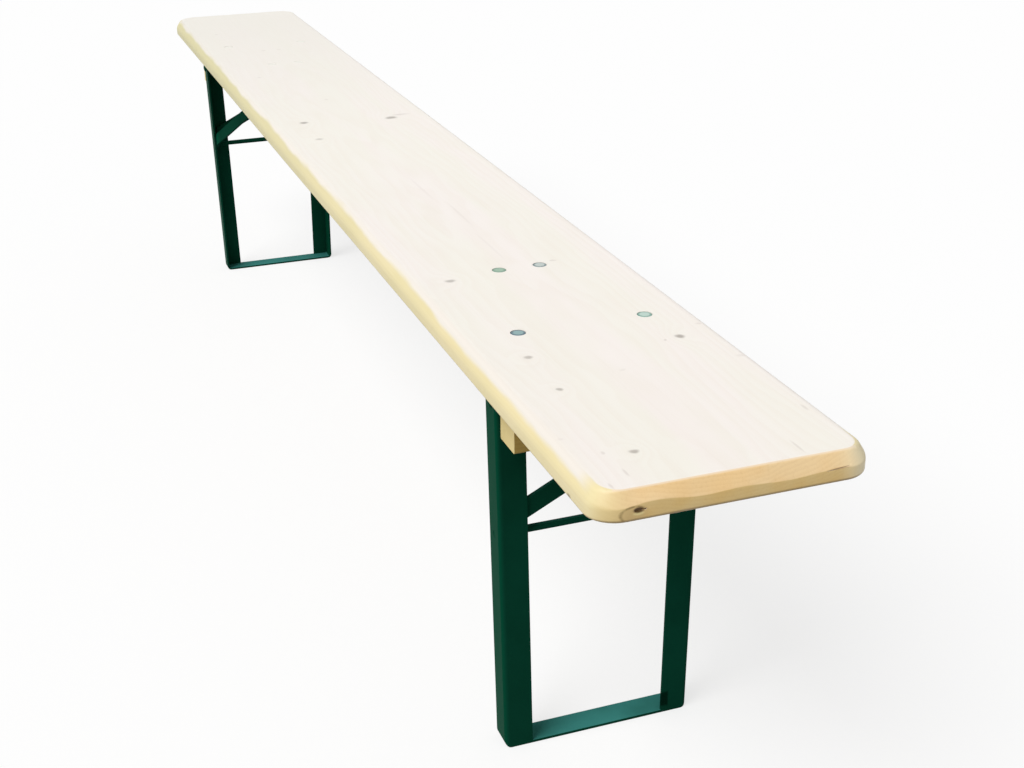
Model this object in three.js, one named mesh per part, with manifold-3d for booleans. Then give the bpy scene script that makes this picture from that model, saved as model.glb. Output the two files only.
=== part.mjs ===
// Folding bench: a long spruce seat board on two steel legs that fold flat under it.
// Millimetres, +Z up, +X along the board. The origin is on the floor below the middle of the seat.
// Both ends are alike: the end assembly is modelled once, at +X, and turned half round for the other end.
import * as THREE from "three";
import { mergeVertices } from "three/addons/utils/BufferGeometryUtils.js";
import Module from "manifold-3d";

const wasm = await Module();
wasm.setup();

// Clearances
const seatGap = 0.3; // between fixed faces that bear on each other
const pinGap = 0.3; // all round a pin, bolt or screw in its hole
const swingGap = 0.6; // between faces that swing past each other
const cutOverrun = 5; // how far a cutting body runs past the face that it cuts

// Seat board
const seatHeight = 440;
const boardLength = 2200;
const boardWidth = 250;
const boardThickness = 27;
const boardCornerRadius = 28;
const boardTopRound = 10;
const boardBottomRound = 5;

// Leg frame: angle steel bent to a U, with the end flange notched away along the foot
const legInset = 294.5; // from the end of the board to the hinge axis
const angleWidth = 30; // end flange, across the bench
const angleDepth = 28; // side flange, along the bench
const angleThickness = 3;
const angleCornerRadius = 5; // outside, between the two flanges
const footHalfWidth = 104;
const hingeHalfWidth = 110;
const footBendRadius = 7;
const hingeDrop = 17; // hinge axis below the board
const endFlangeDrop = 26; // top of the end flange below the board

// Cross rod and brace of the leg
const rodDiameter = 8;
const rodHeight = 250;
const braceWidth = 19.5;
const braceThickness = 4;
const braceHalfLength = 98;
const braceAboveRod = 18.5; // middle of the brace's ends, above the rod
const braceAngle = THREE.MathUtils.degToRad(26.5);

// Locking strut: two flat arms from the cross rod to one pin under the board
const strutReach = 185.5; // from the hinge axis to the strut pin, along the board
const strutPinDrop = 18; // strut pin below the board
const strutPinDiameter = 8;
const strutPinOverhang = 2;
const armWidth = 20;
const armThickness = 4;
const armHalfGap = 16; // from the middle to an arm at the strut pin
const armEndFlat = 20; // straight stretch of an arm past each of its holes
const armBendRadius = 6;

// Hinge brackets and rivets
const bracketThickness = 3;
const bracketBendRadius = 2;
const bracketEarRadius = 13;
const bracketLength = 75;
const bracketPlateWidth = 51;
const bracketPlateStep = 5.3; // plate edge in from the ear, beside the ear
const bracketCornerRadius = 6;
const rivetDiameter = 8;
const rivetHeadDiameter = 14;
const rivetHeadHeight = 3;

// Bolts, nuts and the rows that they stand in
const boltDiameter = 8;
const boltHeadDiameter = 15;
const boltHeadRim = 0.8;
const boltHeadHeight = 4.3;
const boltOverhang = 2.5;
const boltEndChamfer = 1;
const nutAcrossFlats = 13;
const nutHeight = 6.5;
const nutChamfer = 0.8;
const hingeBoltReach = 48.5; // from the hinge axis to its bolts
const hingeBoltHalfSpacing = 67.5;
const catchBoltReach = 41.5; // from the strut pin to the bolts of the catch
const catchBoltHalfSpacing = 23.5;
const boltRowShift = 4; // the rows sit a little off the middle of the board

// Catch plate: a lip behind the strut pin, and a leaf spring over it
const catchThickness = 2.5;
const catchBendRadius = 2.5;
const catchHalfWidth = 40;
const catchInnerMargin = 18; // plate past the bolts, towards the middle of the bench
const catchOuterMargin = 18; // plate past the bolts, towards the strut pin
const catchTongueHalfWidth = 14;
const catchLipDepth = 9; // lip below the middle of the pin
const catchCornerRadius = 6;
const springThickness = 1.2;
const springBendRadius = 2;
const springHalfWidth = 36;
const springMargin = 11; // spring blank on each side of the bolts
const springTongueHalfWidth = 10;
const springClearance = 0.5;
const springBumpReach = 9;
const springTipReach = 2;
const pinPathAngle = THREE.MathUtils.degToRad(20.7); // slope at which the pin leaves the catch

// Cleat: the batten that the leg leans on, and its two screws
const cleatDepth = 38;
const cleatHeight = 51;
const cleatHalfLength = 105;
const cleatEdgeRound = 2;
const screwDiameter = 5;
const screwHeadDiameter = 9.6;
const screwHeadRim = 0.5;
const screwHeadHeight = 3.4;
const screwTipLength = 8;
const screwBite = 15; // depth of the screw in the board
const screwHalfSpacing = 70;

// Fineness of the round faces
const cornerSteps = 6;
const arcSteps = 5;
const edgeSteps = 4;
const bendSteps = 4;
const roundSteps = 20;
const domeSteps = 3;
const mergeTolerance = 1e-4;

// Places that several pieces share
const boardUnderside = seatHeight - boardThickness;
const seatedTop = boardUnderside - seatGap; // top of whatever is fixed under the board
const hingeX = boardLength / 2 - legInset;
const hingeZ = boardUnderside - hingeDrop;
const legOuterX = hingeX + angleDepth / 2;
const legInnerX = hingeX - angleDepth / 2;
const flankSlope = (hingeHalfWidth - footHalfWidth) / hingeZ;
const pinX = hingeX - strutReach;
const pinZ = boardUnderside - strutPinDrop;
const catchBoltX = pinX - catchBoltReach;
const hingeBoltX = hingeX - hingeBoltReach;
const earOuterY = hingeHalfWidth - angleThickness - swingGap;
const hingeRows = [boltRowShift - hingeBoltHalfSpacing, boltRowShift + hingeBoltHalfSpacing];
const catchRows = [boltRowShift - catchBoltHalfSpacing, boltRowShift + catchBoltHalfSpacing];

// Half width of the leg frame, outside and inside its side flange, at a height above the floor
const flankY = (z) => footHalfWidth + flankSlope * z;
const flankInnerY = (z) => flankY(z) - angleThickness;

const wood = new THREE.MeshStandardMaterial({ color: "#f0e8da", roughness: 0.55, metalness: 0 });
const battenWood = new THREE.MeshStandardMaterial({ color: "#cdb585", roughness: 0.7, metalness: 0 });
const greenPaint = new THREE.MeshStandardMaterial({ color: "#0d4132", roughness: 0.35, metalness: 0.1 });
const zinc = new THREE.MeshStandardMaterial({ color: "#9fa9ab", roughness: 0.4, metalness: 0.9 });
const springSteel = new THREE.MeshStandardMaterial({ color: "#4c5356", roughness: 0.35, metalness: 0.9 });

// Conversions between three.js geometry and solids that can be joined and cut
function toSolid(geometry) {
  const bare = geometry.clone();
  bare.deleteAttribute("normal");
  bare.deleteAttribute("uv");
  const merged = mergeVertices(bare, mergeTolerance);
  const corners = merged.index.array;
  const kept = [];
  for (let i = 0; i < corners.length; i += 3) {
    const [a, b, c] = corners.slice(i, i + 3);
    if (a !== b && b !== c && c !== a) kept.push(a, b, c);
  }
  const vertProperties = merged.attributes.position.array;
  return new wasm.Manifold(new wasm.Mesh({ numProp: 3, vertProperties, triVerts: new Uint32Array(kept) }));
}

function toGeometry(solid) {
  const mesh = solid.getMesh();
  const geometry = new THREE.BufferGeometry();
  geometry.setAttribute("position", new THREE.BufferAttribute(mesh.vertProperties, 3));
  geometry.setIndex(new THREE.BufferAttribute(mesh.triVerts, 1));
  const faceted = geometry.toNonIndexed();
  faceted.computeVertexNormals();
  return faceted;
}

// Extrusions of an outline along one axis, from one coordinate to another
function extrude(shape, depth) {
  return new THREE.ExtrudeGeometry(shape, { depth, bevelEnabled: false, curveSegments: arcSteps });
}

function extrudeX(shapeYZ, from, to) {
  const turn = new THREE.Matrix4().makeBasis(
    new THREE.Vector3(0, 1, 0),
    new THREE.Vector3(0, 0, 1),
    new THREE.Vector3(1, 0, 0),
  );
  return toSolid(extrude(shapeYZ, to - from).applyMatrix4(turn).translate(from, 0, 0));
}

function extrudeY(shapeXZ, from, to) {
  const turn = new THREE.Matrix4().makeBasis(
    new THREE.Vector3(1, 0, 0),
    new THREE.Vector3(0, 0, 1),
    new THREE.Vector3(0, -1, 0),
  );
  return toSolid(extrude(shapeXZ, to - from).applyMatrix4(turn).translate(0, to, 0));
}

function extrudeZ(shapeXY, from, to) {
  return toSolid(extrude(shapeXY, to - from).translate(0, 0, from));
}

// A round body about the Z axis from [radius, height] points, lowest first
function lathe(profile) {
  const points = profile.map(([radius, height]) => new THREE.Vector2(radius, height));
  return toSolid(new THREE.LatheGeometry(points, roundSteps).rotateX(Math.PI / 2));
}

function rodZ(radius, x, y, from, to) {
  return lathe([[0, from], [radius, from], [radius, to], [0, to]]).translate([x, y, 0]);
}

function rodY(radius, x, z, from, to) {
  return rodZ(radius, 0, 0, from, to).rotate([-90, 0, 0]).translate([x, 0, z]);
}

// Outlines
const at = (x, y) => new THREE.Vector2(x, y);

function polygon(points) {
  return new THREE.Shape(points.map(([x, y]) => at(x, y)));
}

function roundedRectangle(left, bottom, right, top, radius) {
  const shape = new THREE.Shape();
  shape.absarc(right - radius, bottom + radius, radius, -Math.PI / 2, 0);
  shape.absarc(right - radius, top - radius, radius, 0, Math.PI / 2);
  shape.absarc(left + radius, top - radius, radius, Math.PI / 2, Math.PI);
  shape.absarc(left + radius, bottom + radius, radius, Math.PI, 1.5 * Math.PI);
  return shape;
}

// A flat strip seen edge on: it follows the corners of its middle line, with a bend at each
function bentStrip(corners, thickness, insideRadius) {
  const middleRadius = insideRadius + thickness / 2;
  const leftOf = (heading) => at(-heading.y, heading.x);
  const route = [];
  corners.forEach((corner, i) => {
    const before = corners[i - 1];
    const after = corners[i + 1];
    const into = before && corner.clone().sub(before).normalize();
    const out = after && after.clone().sub(corner).normalize();
    if (!into || !out) {
      route.push({ point: corner, heading: into || out });
      return;
    }
    const turn = Math.atan2(into.cross(out), into.dot(out));
    const toCentre = middleRadius * Math.sign(turn);
    const bendStart = corner.clone().addScaledVector(into, -middleRadius * Math.tan(Math.abs(turn) / 2));
    const centre = bendStart.addScaledVector(leftOf(into), toCentre);
    for (let step = 0; step <= bendSteps; step++) {
      const heading = into.clone().rotateAround(at(0, 0), (turn * step) / bendSteps);
      route.push({ point: centre.clone().addScaledVector(leftOf(heading), -toCentre), heading });
    }
  });
  const edge = (offset) =>
    route.map(({ point, heading }) => point.clone().addScaledVector(leftOf(heading), offset));
  return new THREE.Shape([...edge(-thickness / 2), ...edge(thickness / 2).reverse()]);
}

// A cutter for a countersunk hole with its mouth at mouthZ: down is 1 where it runs down, or -1
function countersink(x, y, mouthZ, down, sizes, depth) {
  const radius = sizes.diameter / 2 + pinGap;
  const headRadius = sizes.headDiameter / 2 + pinGap;
  const profile = [
    [0, -depth],
    [radius, -depth],
    [radius, -sizes.headHeight - pinGap],
    [headRadius, -sizes.headRim],
    [headRadius, cutOverrun],
    [0, cutOverrun],
  ];
  const cutter = lathe(profile);
  return (down > 0 ? cutter : cutter.rotate([180, 0, 0])).translate([x, y, mouthZ]);
}

const boltSizes = {
  diameter: boltDiameter,
  headDiameter: boltHeadDiameter,
  headHeight: boltHeadHeight,
  headRim: boltHeadRim,
};
const screwSizes = {
  diameter: screwDiameter,
  headDiameter: screwHeadDiameter,
  headHeight: screwHeadHeight,
  headRim: screwHeadRim,
};

// Places of the bolts and screws on the board, at the +X end
const boltPlaces = [
  ...hingeRows.map((y) => [hingeBoltX, y]),
  ...catchRows.map((y) => [catchBoltX, y]),
];
const cleatX = legOuterX + seatGap;
const cleatMiddleX = cleatX + cleatDepth / 2;
const screwPlaces = [-1, 1].map((side) => [cleatMiddleX, side * screwHalfSpacing]);

// One ring of the board: its plan outline, drawn in by an inset
function boardRing(inset, z) {
  const radius = boardCornerRadius - inset;
  const cornerX = boardLength / 2 - boardCornerRadius;
  const cornerY = boardWidth / 2 - boardCornerRadius;
  const ring = [];
  [[1, 1], [-1, 1], [-1, -1], [1, -1]].forEach(([sideX, sideY], quarter) => {
    for (let step = 0; step <= cornerSteps; step++) {
      const angle = ((quarter + step / cornerSteps) * Math.PI) / 2;
      ring.push(
        new THREE.Vector3(
          sideX * cornerX + radius * Math.cos(angle),
          sideY * cornerY + radius * Math.sin(angle),
          z,
        ),
      );
    }
  });
  return ring;
}

// A closed skin over rings of equal count, lowest first, each counterclockwise from above
function loft(rings) {
  const count = rings[0].length;
  const index = [];
  for (let level = 0; level < rings.length - 1; level++) {
    for (let i = 0; i < count; i++) {
      const low = level * count + i;
      const lowNext = level * count + ((i + 1) % count);
      index.push(low, lowNext, lowNext + count, low, lowNext + count, low + count);
    }
  }
  const last = (rings.length - 1) * count;
  for (let i = 1; i < count - 1; i++) index.push(0, i + 1, i, last, last + i, last + i + 1);
  const geometry = new THREE.BufferGeometry().setFromPoints(rings.flat());
  geometry.setIndex(index);
  return toSolid(geometry);
}

function seatBoard() {
  const rings = [];
  for (let step = 0; step <= edgeSteps; step++) {
    const angle = (step / edgeSteps) * (Math.PI / 2);
    const inset = boardBottomRound * (1 - Math.sin(angle));
    rings.push(boardRing(inset, boardUnderside + boardBottomRound * (1 - Math.cos(angle))));
  }
  for (let step = 0; step <= edgeSteps; step++) {
    const angle = (step / edgeSteps) * (Math.PI / 2);
    const inset = boardTopRound * (1 - Math.cos(angle));
    rings.push(boardRing(inset, seatHeight - boardTopRound * (1 - Math.sin(angle))));
  }
  let board = loft(rings);
  for (const end of [-1, 1]) {
    for (const [x, y] of boltPlaces) {
      const depth = boardThickness + cutOverrun;
      board = board.subtract(countersink(end * x, end * y, seatHeight, 1, boltSizes, depth));
    }
    for (const [x, y] of screwPlaces) {
      const radius = screwDiameter / 2 + pinGap;
      const top = boardUnderside + screwBite + pinGap;
      board = board.subtract(rodZ(radius, end * x, end * y, boardUnderside - cutOverrun, top));
    }
  }
  return board;
}

// What the rounded outer corner of the angle steel leaves out, along one upright
function angleCorner(side) {
  const round = new THREE.Shape();
  round.absarc(-angleCornerRadius, -angleCornerRadius, angleCornerRadius, 0, Math.PI / 2);
  round.lineTo(-angleCornerRadius, cutOverrun);
  round.lineTo(cutOverrun, cutOverrun);
  round.lineTo(cutOverrun, -angleCornerRadius);
  const height = hingeZ + angleDepth / 2 + cutOverrun;
  const along = new THREE.Matrix4().makeBasis(
    new THREE.Vector3(1, 0, 0),
    new THREE.Vector3(0, 1, 0),
    new THREE.Vector3(0, flankSlope, 1),
  );
  const place = new THREE.Matrix4().makeTranslation(legOuterX, flankY(0), 0);
  const cutter = toSolid(extrude(round, height).applyMatrix4(place.multiply(along)));
  return side > 0 ? cutter : cutter.mirror([0, 1, 0]);
}

// The U of the leg seen along the bench, and the side flange seen from the side
function legFrame() {
  const halfSteel = angleThickness / 2;
  const topZ = hingeZ + angleDepth / 2;
  const middleCorners = [
    at(-flankY(topZ) + halfSteel, topZ),
    at(-flankY(halfSteel) + halfSteel, halfSteel),
    at(flankY(halfSteel) - halfSteel, halfSteel),
    at(flankY(topZ) - halfSteel, topZ),
  ];
  const bar = bentStrip(middleCorners, angleThickness, footBendRadius - angleThickness);
  const sideOutline = new THREE.Shape();
  sideOutline.moveTo(legInnerX, 0);
  sideOutline.lineTo(legOuterX, 0);
  sideOutline.absarc(hingeX, hingeZ, angleDepth / 2, 0, Math.PI);
  const widest = flankY(topZ) + cutOverrun;
  let frame = extrudeX(bar, legInnerX, legOuterX).intersect(extrudeY(sideOutline, -widest, widest));

  const flangeTop = boardUnderside - endFlangeDrop;
  const flangeX = legOuterX - angleThickness;
  const outerCorners = [
    at(-flankY(topZ), topZ),
    at(-flankY(0) + footBendRadius * flankSlope, footBendRadius),
  ];
  const envelope = new THREE.Shape();
  envelope.moveTo(outerCorners[0].x, outerCorners[0].y);
  envelope.lineTo(outerCorners[1].x, outerCorners[1].y);
  envelope.absarc(-footHalfWidth + footBendRadius, footBendRadius, footBendRadius, Math.PI, 1.5 * Math.PI);
  envelope.absarc(footHalfWidth - footBendRadius, footBendRadius, footBendRadius, -Math.PI / 2, 0);
  envelope.lineTo(-outerCorners[0].x, outerCorners[0].y);
  const inside = extrudeX(envelope, flangeX - cutOverrun, legOuterX + cutOverrun);
  for (const side of [-1, 1]) {
    const flange = polygon([
      [side * (flankY(0) - angleWidth), 0],
      [side * (flankY(0) + angleWidth), 0],
      [side * (flankY(flangeTop) + angleWidth), flangeTop],
      [side * (flankY(flangeTop) - angleWidth), flangeTop],
    ]);
    frame = frame.add(extrudeX(flange, flangeX, legOuterX).intersect(inside));
    frame = frame.subtract(angleCorner(side));
  }
  const rodHole = rodY(rodDiameter / 2 + pinGap, hingeX, rodHeight, -widest, widest);
  const hingeHole = rodY(rivetDiameter / 2 + pinGap, hingeX, hingeZ, -widest, widest);
  return frame.subtract(rodHole).subtract(hingeHole);
}

function crossRod() {
  const end = flankY(rodHeight) - seatGap;
  return rodY(rodDiameter / 2, hingeX, rodHeight, -end, end);
}

// A flat bar bent to a chevron, against the inside of the end flanges
function legBrace() {
  const rise = braceHalfLength * Math.tan(braceAngle);
  const half = braceWidth / 2 / Math.cos(braceAngle);
  const outer = legOuterX - angleThickness - seatGap;
  const footZ = rodHeight + braceAboveRod;
  const outline = polygon([
    [-braceHalfLength, footZ - half],
    [0, footZ + rise - half],
    [braceHalfLength, footZ - half],
    [braceHalfLength, footZ + half],
    [0, footZ + rise + half],
    [-braceHalfLength, footZ + half],
  ]);
  return extrudeX(outline, outer - braceThickness, outer);
}

// Strut arm in the strut's own frame: X along the strut from the cross rod, Y across the bench
const strutRise = pinZ - rodHeight;
const strutLength = Math.hypot(strutReach, strutRise);
const armOuterY = flankInnerY(rodHeight) - swingGap;

function strutArm(side) {
  const lowY = armOuterY - armThickness / 2;
  const highY = armHalfGap + armThickness / 2;
  const radius = armWidth / 2;
  const corners = [
    at(-radius, side * lowY),
    at(armEndFlat, side * lowY),
    at(strutLength - armEndFlat, side * highY),
    at(strutLength + radius, side * highY),
  ];
  const blank = new THREE.Shape();
  blank.absarc(0, 0, radius, Math.PI / 2, 1.5 * Math.PI);
  blank.absarc(strutLength, 0, radius, -Math.PI / 2, Math.PI / 2);
  const widest = armOuterY + cutOverrun;
  const rodHole = rodY(rodDiameter / 2 + pinGap, 0, 0, -widest, widest);
  const pinHole = rodY(strutPinDiameter / 2 + pinGap, strutLength, 0, -widest, widest);
  return extrudeZ(bentStrip(corners, armThickness, armBendRadius), -radius, radius)
    .intersect(extrudeY(blank, -widest, widest))
    .subtract(rodHole)
    .subtract(pinHole);
}

function strutPin() {
  const end = armHalfGap + armThickness + strutPinOverhang;
  return rodY(strutPinDiameter / 2, strutLength, 0, -end, end);
}

// Hinge bracket: an ear for the rivet and a plate under the board
function hingeBracket(side) {
  const half = bracketThickness / 2;
  const earX = [hingeX - bracketEarRadius, hingeX + bracketEarRadius];
  const plateTop = seatedTop;
  const corners = [
    at(side * (earOuterY - half), hingeZ - bracketEarRadius),
    at(side * (earOuterY - half), plateTop - half),
    at(side * (earOuterY - bracketPlateStep - bracketPlateWidth), plateTop - half),
  ];
  const ear = new THREE.Shape();
  ear.absarc(hingeX, hingeZ, bracketEarRadius, Math.PI, 2 * Math.PI);
  ear.lineTo(earX[1], plateTop);
  ear.lineTo(earX[0], plateTop);
  const outerY = side * (earOuterY - bracketPlateStep);
  const innerY = outerY - side * bracketPlateWidth;
  const plate = roundedRectangle(
    earX[1] - bracketLength,
    Math.min(outerY, innerY),
    earX[1],
    Math.max(outerY, innerY),
    bracketCornerRadius,
  );
  const row = hingeRows[side > 0 ? 1 : 0];
  const boltRadius = boltDiameter / 2 + pinGap;
  const boltHole = rodZ(boltRadius, hingeBoltX, row, plateTop - cutOverrun, plateTop + cutOverrun);
  const widest = earOuterY + cutOverrun;
  return extrudeX(bentStrip(corners, bracketThickness, bracketBendRadius), earX[0], earX[1])
    .intersect(extrudeY(ear, -widest, widest))
    .add(extrudeZ(plate, plateTop - bracketThickness, plateTop))
    .subtract(boltHole)
    .subtract(rodY(rivetDiameter / 2 + pinGap, hingeX, hingeZ, -widest, widest));
}

function hingeRivet(side) {
  const inner = earOuterY - bracketThickness - pinGap;
  const outer = hingeHalfWidth + pinGap;
  const dome = [];
  for (let step = 0; step <= domeSteps; step++) {
    const angle = (step / domeSteps) * (Math.PI / 2);
    dome.push([(rivetHeadDiameter / 2) * Math.sin(angle), rivetHeadHeight * Math.cos(angle)]);
  }
  const profile = [
    ...dome.map(([radius, height]) => [radius, inner - height]),
    [rivetDiameter / 2, inner],
    [rivetDiameter / 2, outer],
    ...dome.map(([radius, height]) => [radius, outer + height]).reverse(),
  ];
  return lathe(profile)
    .rotate([side > 0 ? -90 : 90, 0, 0])
    .translate([hingeX, 0, hingeZ]);
}

// A flat-headed bolt, its head flush with the seat, long enough for what it clamps and its nut
function seatBolt(clamped) {
  const length = boardThickness + clamped + nutHeight + boltOverhang;
  const radius = boltDiameter / 2;
  return lathe([
    [0, -length],
    [radius - boltEndChamfer, -length],
    [radius, boltEndChamfer - length],
    [radius, -boltHeadHeight],
    [boltHeadDiameter / 2, -boltHeadRim],
    [boltHeadDiameter / 2, 0],
    [0, 0],
  ]).translate([0, 0, seatHeight]);
}

function hexNut() {
  const cornerRadius = nutAcrossFlats / Math.sqrt(3);
  const hexagon = new THREE.CylinderGeometry(cornerRadius, cornerRadius, nutHeight, 6).rotateX(Math.PI / 2);
  const rounding = lathe([
    [0, -nutHeight / 2],
    [cornerRadius - nutChamfer, -nutHeight / 2],
    [cornerRadius, -nutHeight / 2 + nutChamfer],
    [cornerRadius, nutHeight / 2 - nutChamfer],
    [cornerRadius - nutChamfer, nutHeight / 2],
    [0, nutHeight / 2],
  ]);
  const bore = rodZ(boltDiameter / 2 + pinGap, 0, 0, -nutHeight, nutHeight);
  return toSolid(hexagon).intersect(rounding).subtract(bore);
}

// The T-shaped blank that the catch plate and its spring share: a wide part at the bolts, a tongue outwards
function catchBlank(innerX, outerX, halfWidth, tongueHalfWidth, tongueEnd) {
  const wide = extrudeZ(
    roundedRectangle(innerX, -halfWidth, outerX, halfWidth, catchCornerRadius),
    0,
    boardUnderside,
  );
  const tongue = polygon([
    [catchBoltX, -tongueHalfWidth],
    [tongueEnd, -tongueHalfWidth],
    [tongueEnd, tongueHalfWidth],
    [catchBoltX, tongueHalfWidth],
  ]);
  let blank = wide.add(extrudeZ(tongue, 0, boardUnderside));
  for (const y of catchRows) {
    blank = blank.subtract(rodZ(boltDiameter / 2 + pinGap, catchBoltX, y, -cutOverrun, seatHeight));
  }
  return blank;
}

function catchPlate() {
  const innerX = catchBoltX - catchInnerMargin;
  const outerX = catchBoltX + catchOuterMargin;
  const middleZ = seatedTop - catchThickness / 2;
  const lipX = pinX + strutPinDiameter / 2 + swingGap + catchThickness / 2;
  const profile = bentStrip(
    [at(innerX, middleZ), at(lipX, middleZ), at(lipX, pinZ - catchLipDepth)],
    catchThickness,
    catchBendRadius,
  );
  const blank = catchBlank(innerX, outerX, catchHalfWidth, catchTongueHalfWidth, lipX + catchThickness);
  return extrudeY(profile, -catchHalfWidth, catchHalfWidth).intersect(blank);
}

function catchSpring() {
  const middleZ = seatedTop - catchThickness - seatGap - springThickness / 2;
  const innerX = catchBoltX - springMargin;
  const outerX = catchBoltX + springMargin;
  const standOff = strutPinDiameter / 2 + springClearance + springThickness / 2;
  const alongPath = (reach) =>
    at(
      pinX - standOff * Math.sin(pinPathAngle) + reach * Math.cos(pinPathAngle),
      pinZ + standOff * Math.cos(pinPathAngle) + reach * Math.sin(pinPathAngle),
    );
  const tip = alongPath(springTipReach);
  const profile = bentStrip(
    [at(innerX, middleZ), at(outerX + springBendRadius, middleZ), alongPath(-springBumpReach), tip],
    springThickness,
    springBendRadius,
  );
  const tipEnd = tip.x + springThickness;
  const blank = catchBlank(innerX, outerX, springHalfWidth, springTongueHalfWidth, tipEnd);
  return extrudeY(profile, -springHalfWidth, springHalfWidth).intersect(blank);
}

function cleat() {
  const bottom = seatedTop - cleatHeight;
  const section = roundedRectangle(cleatX, bottom, cleatX + cleatDepth, seatedTop, cleatEdgeRound);
  let batten = extrudeY(section, -cleatHalfLength, cleatHalfLength);
  for (const [x, y] of screwPlaces) {
    batten = batten.subtract(countersink(x, y, bottom, -1, screwSizes, cleatHeight + cutOverrun));
  }
  return batten;
}

function cleatScrew() {
  const length = cleatHeight + seatGap + screwBite;
  const radius = screwDiameter / 2;
  return lathe([
    [0, 0],
    [screwHeadDiameter / 2, 0],
    [screwHeadDiameter / 2, screwHeadRim],
    [radius, screwHeadHeight],
    [radius, length - screwTipLength],
    [0, length],
  ]).translate([0, 0, seatedTop - cleatHeight]);
}

function piece(name, geometry, material, x = 0, y = 0, z = 0) {
  const mesh = new THREE.Mesh(geometry, material.clone());
  mesh.name = name;
  mesh.position.set(x, y, z);
  return mesh;
}

// Geometry that both ends share
const hingeClamp = seatGap + bracketThickness + seatGap;
const catchClamp = seatGap + catchThickness + seatGap + springThickness + seatGap;
const shared = {
  frame: toGeometry(legFrame()),
  rod: toGeometry(crossRod()),
  brace: toGeometry(legBrace()),
  pin: toGeometry(strutPin()),
  hingeBolt: toGeometry(seatBolt(hingeClamp)),
  catchBolt: toGeometry(seatBolt(catchClamp)),
  nut: toGeometry(hexNut()),
  plate: toGeometry(catchPlate()),
  spring: toGeometry(catchSpring()),
  cleat: toGeometry(cleat()),
  screw: toGeometry(cleatScrew()),
};
const sides = [-1, 1].map((side) => ({
  side,
  row: side > 0 ? 1 : 0,
  arm: toGeometry(strutArm(side)),
  bracket: toGeometry(hingeBracket(side)),
  rivet: toGeometry(hingeRivet(side)),
}));

// One end of the bench. Turned half round, its front and back pieces change sides.
function benchEnd(prefix, turned) {
  const end = new THREE.Group();
  end.rotation.z = turned ? Math.PI : 0;
  const leg = new THREE.Group();
  leg.add(piece(prefix + "_leg_frame", shared.frame, greenPaint));
  leg.add(piece(prefix + "_cross_rod", shared.rod, greenPaint));
  leg.add(piece(prefix + "_leg_brace", shared.brace, greenPaint));
  const strut = new THREE.Group();
  strut.position.set(hingeX, 0, rodHeight);
  strut.rotation.y = Math.PI + Math.atan2(strutRise, strutReach);
  strut.add(piece(prefix + "_strut_pin", shared.pin, zinc));
  end.add(leg, strut);
  end.add(piece(prefix + "_catch_plate", shared.plate, greenPaint));
  end.add(piece(prefix + "_catch_spring", shared.spring, springSteel));
  end.add(piece(prefix + "_cleat", shared.cleat, battenWood));
  const hingeNutZ = boardUnderside - hingeClamp - nutHeight / 2;
  const catchNutZ = boardUnderside - catchClamp - nutHeight / 2;
  for (const { side, row, arm, bracket, rivet } of sides) {
    const place = (side < 0) !== turned ? "_front" : "_back";
    strut.add(piece(prefix + "_strut_arm" + place, arm, greenPaint));
    end.add(piece(prefix + "_hinge_bracket" + place, bracket, greenPaint));
    end.add(piece(prefix + "_hinge_rivet" + place, rivet, zinc));
    end.add(piece(prefix + "_hinge_bolt" + place, shared.hingeBolt, zinc, hingeBoltX, hingeRows[row]));
    end.add(piece(prefix + "_hinge_nut" + place, shared.nut, zinc, hingeBoltX, hingeRows[row], hingeNutZ));
    end.add(piece(prefix + "_catch_bolt" + place, shared.catchBolt, zinc, catchBoltX, catchRows[row]));
    end.add(piece(prefix + "_catch_nut" + place, shared.nut, zinc, catchBoltX, catchRows[row], catchNutZ));
    end.add(piece(prefix + "_cleat_screw" + place, shared.screw, zinc, ...screwPlaces[row]));
  }
  return end;
}

const bench = new THREE.Group();
bench.add(piece("seat_board", toGeometry(seatBoard()), wood));
bench.add(benchEnd("right", false));
bench.add(benchEnd("left", true));

export default bench;
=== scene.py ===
import math
from types import SimpleNamespace

import bpy
from mathutils import Matrix, Vector


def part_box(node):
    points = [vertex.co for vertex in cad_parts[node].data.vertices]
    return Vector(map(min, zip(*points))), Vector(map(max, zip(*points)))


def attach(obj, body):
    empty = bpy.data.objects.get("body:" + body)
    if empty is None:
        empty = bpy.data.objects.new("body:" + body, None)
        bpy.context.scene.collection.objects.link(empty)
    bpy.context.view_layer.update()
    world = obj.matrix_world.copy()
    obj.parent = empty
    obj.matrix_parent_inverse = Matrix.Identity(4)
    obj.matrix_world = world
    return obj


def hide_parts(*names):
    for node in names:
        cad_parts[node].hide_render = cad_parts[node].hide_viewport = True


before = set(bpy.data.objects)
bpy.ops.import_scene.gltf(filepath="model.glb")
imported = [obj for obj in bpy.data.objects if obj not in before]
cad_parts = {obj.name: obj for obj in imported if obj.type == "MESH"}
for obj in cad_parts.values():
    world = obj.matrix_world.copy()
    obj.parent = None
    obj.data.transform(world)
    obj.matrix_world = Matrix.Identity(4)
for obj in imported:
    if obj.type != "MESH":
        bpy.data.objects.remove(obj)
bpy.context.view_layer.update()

# Sizes and places are in millimetres, unless a comment says otherwise
MM = 0.001
ENDS = ("right", "left")
PLACES = ("front", "back")
BOLT_KINDS = ("hinge_bolt", "catch_bolt")

# Camera, fitted to the photograph: its place and clipping in metres, its angles in degrees
CAMERA_PLACE = (2.03637, -0.53049, 0.98693)
CAMERA_AZIMUTH = 70.22
CAMERA_ELEVATION = 23.83
CAMERA_ROLL = -0.65
CAMERA_LENS = 52.973
SENSOR_WIDTH = 36.0
CLIP_START = 0.05
CLIP_END = 100.0

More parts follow.
